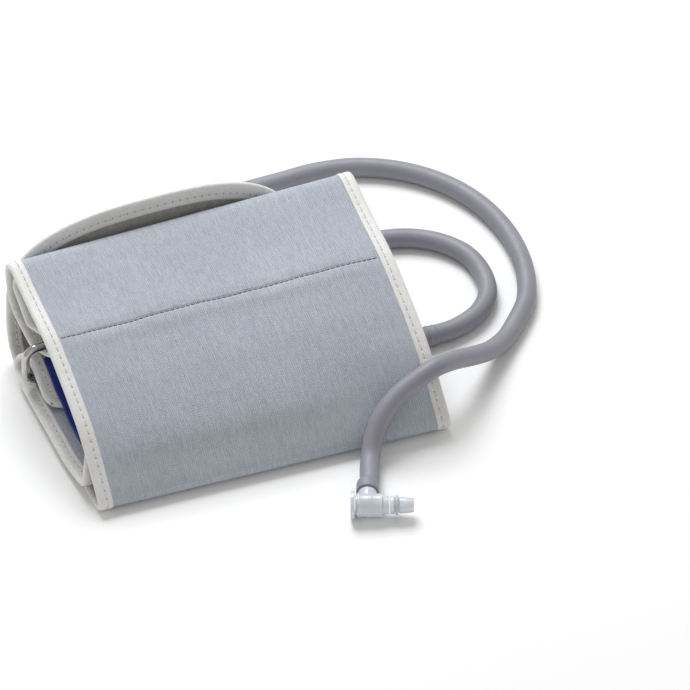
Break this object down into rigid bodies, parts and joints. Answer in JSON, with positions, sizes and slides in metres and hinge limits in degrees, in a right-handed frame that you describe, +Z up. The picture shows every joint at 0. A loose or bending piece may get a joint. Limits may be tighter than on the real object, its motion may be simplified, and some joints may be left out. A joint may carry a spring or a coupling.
{
  "type": "blood pressure cuff",
  "caption": "Fabric upper-arm blood pressure cuff closed through a metal ring, with an air bladder, a hose and an elbow plug.",
  "frame": {"origin": "centre of the cuff's footprint on the table it lies on, without its hose and plug", "axes": "+X along the arm axis towards the hose end, -Y towards the sloping front face's foot, +Z up"},
  "size_m": [0.2099, 0.1971, 0.0568],
  "materials": {
    "woven_fabric": "fine woven nylon, blue grey, slight sheen",
    "pile_fabric": "brushed loop pile, warm grey",
    "binding_tape": "smooth off-white binding tape",
    "thread": "polyester sewing thread",
    "bladder_film": "matt thermoplastic film",
    "label_print": "satin label, dark blue",
    "ring_wire": "nickel plated steel wire",
    "hook_tape": "moulded hook tape",
    "hose_rubber": "matt grey rubber",
    "plug_plastic": "translucent pale plastic",
    "seal_rubber": "soft silicone"
  },
  "bodies": {
    "root": {"woven_face": "woven_fabric", "pile_face": "pile_fabric", "bladder": "bladder_film", "binding_left": "binding_tape", "binding_right": "binding_tape", "front_seam_thread": "thread", "binding_thread_left": "thread", "binding_thread_right": "thread", "tab_thread": "thread", "range_label": "label_print", "bladder_port": "bladder_film", "hose_boot": "hose_rubber", "hose_exit_run": "hose_rubber", "hose_hank": "hose_rubber", "hose_front_run": "hose_rubber", "hose_sleeve": "hose_rubber"},
    "ring": {"d_ring": "ring_wire"},
    "tongue": {"tongue_woven_face": "woven_fabric", "tongue_pile_face": "pile_fabric", "tongue_binding": "binding_tape", "hook_patch": "hook_tape"},
    "plug": {"plug_elbow": "plug_plastic", "plug_flange": "plug_plastic", "plug_nozzle": "plug_plastic", "nozzle_seal": "seal_rubber"}
  },
  "joints": [
    {"name": "ring_swing", "type": "hinge", "parent": "root", "child": "ring", "pos_m": [0, 0.02383, 0.0088], "axis": [1, 0, 0], "range_deg": [-4, 2.5]},
    {"name": "tongue_peel", "type": "hinge", "parent": "root", "child": "tongue", "pos_m": [0, 0.05013, 0.0187], "axis": [-1, 0, 0], "range_deg": [0, 75]},
    {"name": "plug_swivel", "type": "hinge", "parent": "root", "child": "plug", "pos_m": [0.0235, -0.08517, 0.0054], "axis": [0.3746, 0.9272, 0], "range_deg": [-180, 0]}
  ]
}
